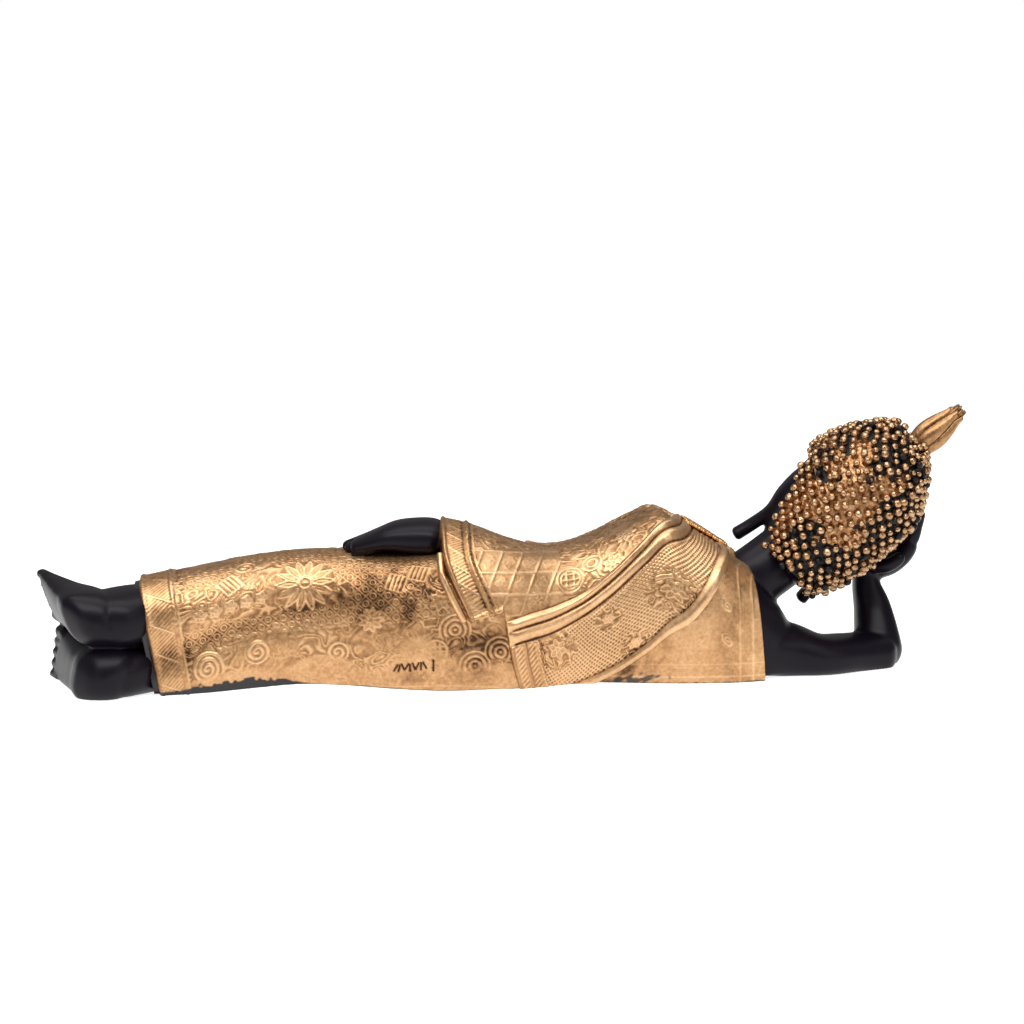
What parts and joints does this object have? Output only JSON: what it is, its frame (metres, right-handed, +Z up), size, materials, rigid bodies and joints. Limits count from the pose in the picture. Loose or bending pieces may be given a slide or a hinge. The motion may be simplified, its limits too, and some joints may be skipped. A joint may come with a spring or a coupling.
{
  "type": "reclining buddha statue",
  "caption": "Small cast figure of a Buddha lying on its right side, head propped on its hand, in a patterned gold robe over black skin.",
  "frame": {"origin": "middle of the footprint on the flat underside", "axes": "+X from the feet to the head, +Y the way the face and chest look, +Z up"},
  "size_m": [0.4054, 0.0808, 0.1132],
  "materials": {
    "gold_robe": "cast polyresin, brushed with satin gold paint, worn brown in the carving's hollows",
    "black_skin": "cast polyresin, painted satin black, with a copper-gold wash on the tips of the curls"
  },
  "bodies": {
    "root": {"reclining_buddha": "gold_robe"}
  },
  "joints": []
}
